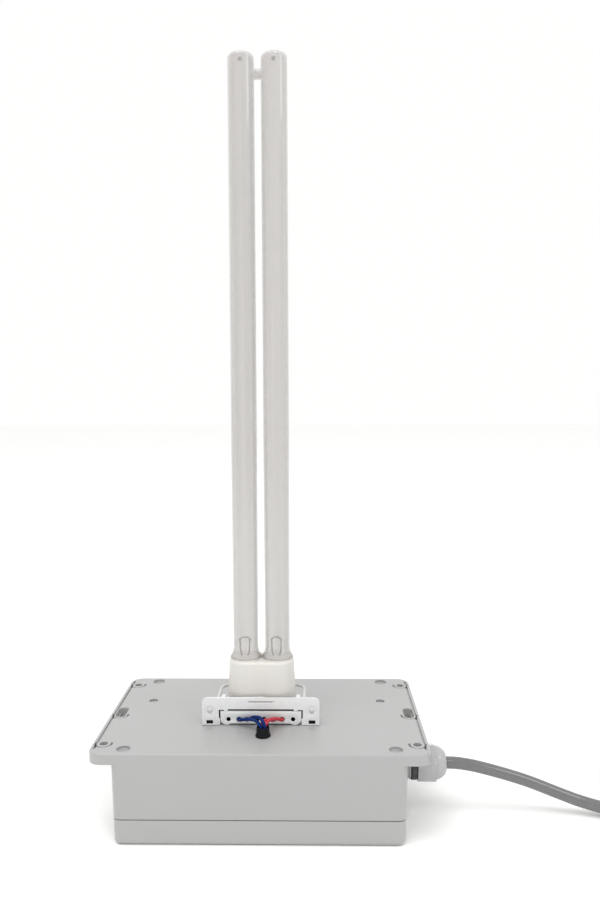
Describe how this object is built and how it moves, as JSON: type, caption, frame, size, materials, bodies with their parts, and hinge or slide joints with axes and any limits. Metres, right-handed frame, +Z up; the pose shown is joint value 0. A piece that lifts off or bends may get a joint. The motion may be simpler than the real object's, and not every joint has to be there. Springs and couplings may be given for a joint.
{
  "type": "twin-tube UV-C lamp unit",
  "caption": "Flanged ballast box with a plug-in twin-tube germicidal lamp, wired holder and bracket, retaining bail, cable gland, coiled mains lead and plug.",
  "frame": {"origin": "centre of the lid's flat underside, which the unit stands on", "axes": "+Z up along the lamp, +X towards the cable gland, -Y towards the front, where the holder's wires enter"},
  "size_m": [0.5093, 0.1214, 0.4635],
  "materials": {
    "box_grey": "light grey ABS, smooth glossy moulding",
    "lid_grey": "light grey ABS, slightly warmer and duller than the body",
    "black_rubber": "matt black",
    "screw_steel": "bright zinc plated",
    "zinc_sheet": "galvanised sheet",
    "circuit_board": "green solder mask",
    "ferrite": "dull sintered ferrite",
    "capacitor_film": "blue sleeve",
    "white_moulding": "satin white moulding",
    "white_enamel": "white enamel on steel",
    "rivet_nickel": "nickel plated",
    "brass": "plain brass",
    "cap_plastic": "warm white moulding",
    "lamp_glass": "clear UV-passing glass",
    "electrode_wire": "coated tungsten and nickel",
    "wire_blue": "PVC insulation",
    "wire_red": "PVC insulation",
    "wire_brown": "PVC insulation",
    "wire_green": "green and yellow PVC insulation",
    "gland_grey": "light grey polyamide",
    "cord_sheath": "grey PVC sheath",
    "plug_rubber": "moulded dark grey plug",
    "cable_tie": "black nylon"
  },
  "bodies": {
    "lid": {"box_lid": "lid_grey", "lid_gasket": "black_rubber"},
    "enclosure": {"box_body": "box_grey", "wire_grommet": "black_rubber", "ballast_base": "zinc_sheet", "ballast_cover": "zinc_sheet", "ballast_board": "circuit_board", "ballast_choke": "ferrite", "ballast_capacitor": "capacitor_film", "ballast_terminal_in": "white_moulding", "ballast_terminal_out": "white_moulding", "ballast_screw_left": "screw_steel", "ballast_screw_right": "screw_steel", "terminal_block": "white_moulding", "cable_inlet": "cord_sheath", "mains_wire_live": "wire_brown", "mains_wire_neutral": "wire_blue", "earth_wire": "wire_green", "ballast_wire_live": "wire_brown", "ballast_wire_neutral": "wire_blue", "lamp_wire_blue_1": "wire_blue", "lamp_wire_blue_2": "wire_blue", "lamp_wire_red_1": "wire_red", "lamp_wire_red_2": "wire_red", "holder_bracket": "white_enamel", "bracket_rivet_left": "rivet_nickel", "bracket_rivet_right": "rivet_nickel", "bracket_screw_left": "screw_steel", "bracket_screw_right": "screw_steel", "holder_body": "white_moulding", "holder_contact_1": "brass", "holder_contact_2": "brass", "holder_contact_3": "brass", "holder_contact_4": "brass", "gland_body": "gland_grey", "gland_locknut": "gland_grey", "gland_seal_ring": "black_rubber", "gland_insert": "black_rubber", "power_cord": "cord_sheath", "cord_coil": "cord_sheath", "plug_body": "plug_rubber", "plug_pin_1": "rivet_nickel", "plug_pin_2": "rivet_nickel"},
    "screw_1": {"lid_screw_1": "screw_steel"},
    "screw_2": {"lid_screw_2": "screw_steel"},
    "screw_3": {"lid_screw_3": "screw_steel"},
    "screw_4": {"lid_screw_4": "screw_steel"},
    "lamp": {"lamp_cap": "cap_plastic", "lamp_glass": "lamp_glass", "lamp_stem_left": "lamp_glass", "lamp_stem_right": "lamp_glass", "electrode_left": "electrode_wire", "electrode_right": "electrode_wire", "lamp_pin_1": "brass", "lamp_pin_2": "brass", "lamp_pin_3": "brass", "lamp_pin_4": "brass"},
    "bail": {"retaining_bail": "white_enamel"},
    "gland_cap": {"gland_nut": "gland_grey"}
  },
  "joints": [
    {"name": "lid_release", "type": "slide", "parent": "lid", "child": "enclosure", "axis": [0, 0, 1], "range_m": [0, 0.035]},
    {"name": "screw_1_turn", "type": "hinge", "parent": "lid", "child": "screw_1", "pos_m": [-0.079, -0.0534, 0], "axis": [0, 0, 1], "continuous": true},
    {"name": "screw_2_turn", "type": "hinge", "parent": "lid", "child": "screw_2", "pos_m": [0.079, -0.0534, 0], "axis": [0, 0, 1], "continuous": true},
    {"name": "screw_3_turn", "type": "hinge", "parent": "lid", "child": "screw_3", "pos_m": [-0.079, 0.0534, 0], "axis": [0, 0, 1], "continuous": true},
    {"name": "screw_4_turn", "type": "hinge", "parent": "lid", "child": "screw_4", "pos_m": [0.079, 0.0534, 0], "axis": [0, 0, 1], "continuous": true},
    {"name": "lamp_pull", "type": "slide", "parent": "enclosure", "child": "lamp", "axis": [0, 0, 1], "range_m": [0, 0.03]},
    {"name": "bail_swing", "type": "hinge", "parent": "enclosure", "child": "bail", "pos_m": [-0.0013, -0.017, 0.0707], "axis": [1, 0, 0], "range_deg": [-12, 15]},
    {"name": "gland_nut_turn", "type": "hinge", "parent": "enclosure", "child": "gland_cap", "pos_m": [0.0975, -0.022, 0.0325], "axis": [1, 0, 0], "continuous": true}
  ]
}
